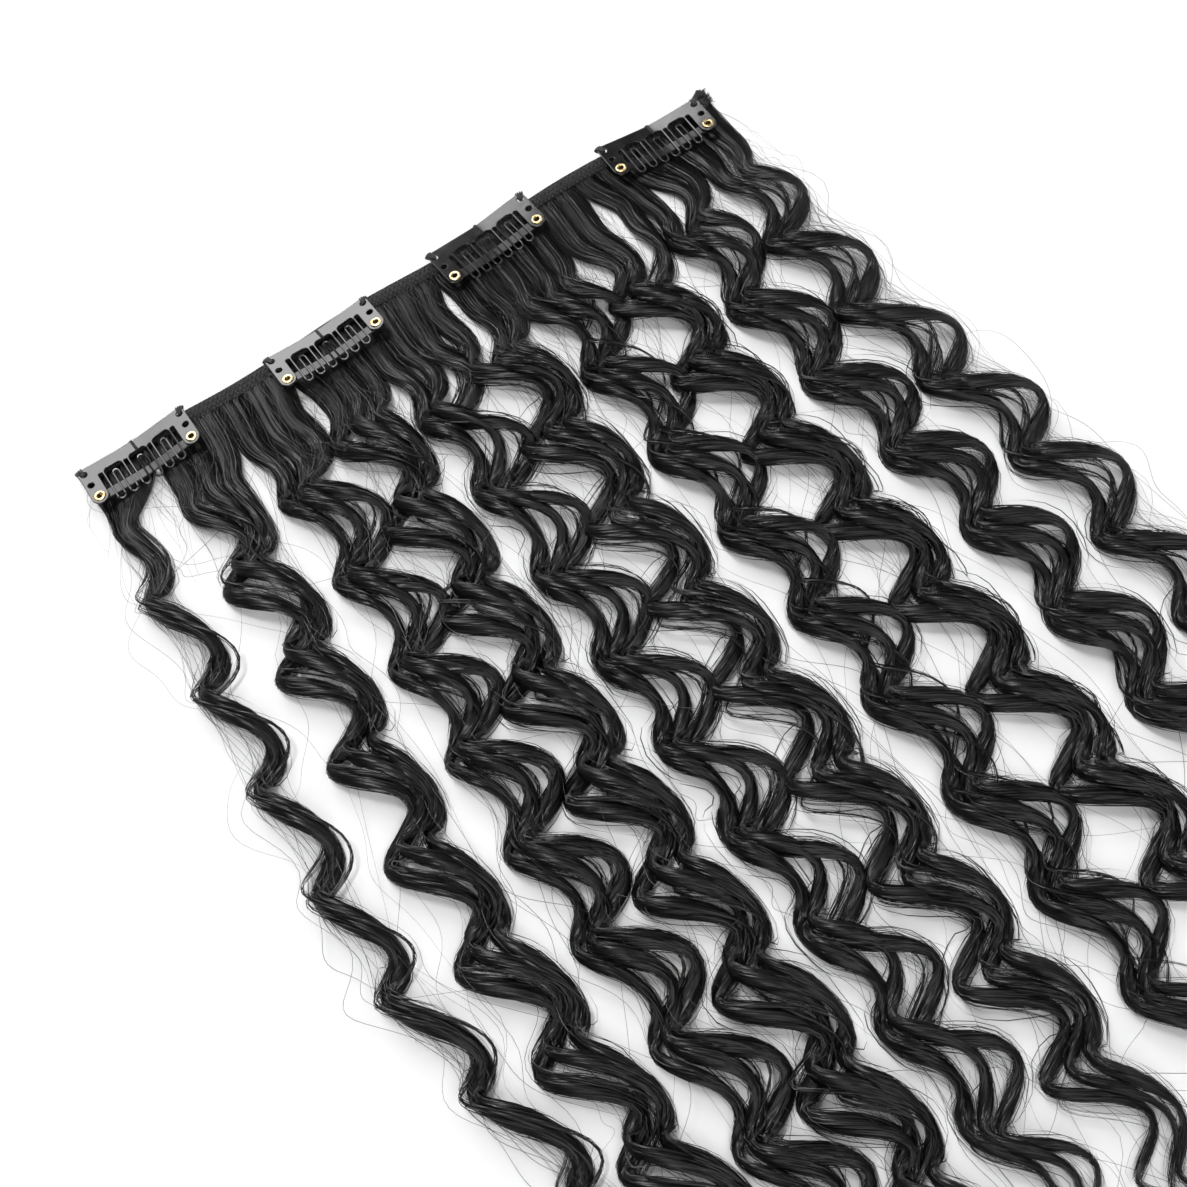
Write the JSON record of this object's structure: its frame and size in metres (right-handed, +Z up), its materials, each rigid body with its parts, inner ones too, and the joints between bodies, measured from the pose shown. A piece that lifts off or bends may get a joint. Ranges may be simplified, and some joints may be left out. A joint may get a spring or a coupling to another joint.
{
  "type": "clip in hair extension",
  "caption": "Weft of long black curled hair on a sewn band, with snap clips whose comb teeth open to grip the wearer's own hair.",
  "frame": {"origin": "middle of the sewn band's flat underside, on the surface that the weft lies on", "axes": "+X along the band, hair runs to -Y, +Z up away from the surface"},
  "size_m": [0.2363, 0.3426, 0.0073],
  "materials": {
    "hair": "black curled hair, soft sheen",
    "weft": "black sewn band, matt",
    "clip_steel": "gloss black paint on spring steel",
    "eyelet_brass": "bright rolled brass"
  },
  "bodies": {
    "weft": {"weft_band": "weft", "hair": "hair", "clip_1_frame": "clip_steel", "clip_1_bar": "clip_steel", "clip_1_eyelet_left": "eyelet_brass", "clip_1_eyelet_right": "eyelet_brass", "clip_2_frame": "clip_steel", "clip_2_bar": "clip_steel", "clip_2_eyelet_left": "eyelet_brass", "clip_2_eyelet_right": "eyelet_brass", "clip_3_frame": "clip_steel", "clip_3_bar": "clip_steel", "clip_3_eyelet_left": "eyelet_brass", "clip_3_eyelet_right": "eyelet_brass", "clip_4_frame": "clip_steel", "clip_4_bar": "clip_steel", "clip_4_eyelet_left": "eyelet_brass", "clip_4_eyelet_right": "eyelet_brass"},
    "clip_1_teeth": {"clip_1_comb": "clip_steel"},
    "clip_2_teeth": {"clip_2_comb": "clip_steel"},
    "clip_3_teeth": {"clip_3_comb": "clip_steel"},
    "clip_4_teeth": {"clip_4_comb": "clip_steel"}
  },
  "joints": [
    {"name": "clip_1_snap", "type": "hinge", "parent": "weft", "child": "clip_1_teeth", "pos_m": [-0.08546, -0.00068, 0.0038], "axis": [-0.9995, -0.0314, 0], "range_deg": [0, 38]},
    {"name": "clip_2_snap", "type": "hinge", "parent": "weft", "child": "clip_2_teeth", "pos_m": [-0.0281, -0.00118, 0.00401], "axis": [-0.9997, -0.0244, 0], "range_deg": [0, 38]},
    {"name": "clip_3_snap", "type": "hinge", "parent": "weft", "child": "clip_3_teeth", "pos_m": [0.0248, 0.00075, 0.00363], "axis": [-0.9982, -0.0593, 0], "range_deg": [0, 38]},
    {"name": "clip_4_snap", "type": "hinge", "parent": "weft", "child": "clip_4_teeth", "pos_m": [0.08149, -0.00053, 0.00387], "axis": [-0.9965, 0.0837, 0], "range_deg": [0, 38]}
  ]
}
